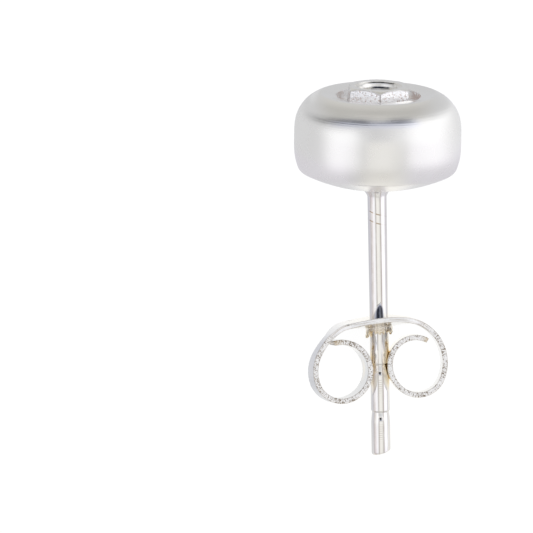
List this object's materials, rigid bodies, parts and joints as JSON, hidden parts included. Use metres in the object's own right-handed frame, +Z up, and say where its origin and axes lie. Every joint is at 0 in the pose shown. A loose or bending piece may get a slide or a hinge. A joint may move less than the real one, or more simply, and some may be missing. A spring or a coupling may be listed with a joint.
{
  "type": "stud earring",
  "caption": "Stud earring with a small polished wheel as its head, a straight grooved post and a butterfly clutch that slides on the post.",
  "frame": {"origin": "on the surface that the stud lies on, under the middle of its bounding box", "axes": "+Z up; the wheel's face looks towards -Y and the post runs towards +Y, dipping 12.6 degrees to the surface"},
  "size_m": [0.007, 0.0156, 0.0071],
  "materials": {
    "polished_silver": "mirror-polished sterling silver, matte as cast in the hub recess",
    "clutch_silver": "rolled sterling silver strip, bright faces and rough sheared edges"
  },
  "bodies": {
    "stud": {"stud": "polished_silver"},
    "clutch": {"clutch": "clutch_silver"}
  },
  "joints": [
    {"name": "clutch_slide", "type": "slide", "parent": "stud", "child": "clutch", "axis": [0, 0.9758, -0.2188], "range_m": [-0.005, 0.0065]}
  ]
}
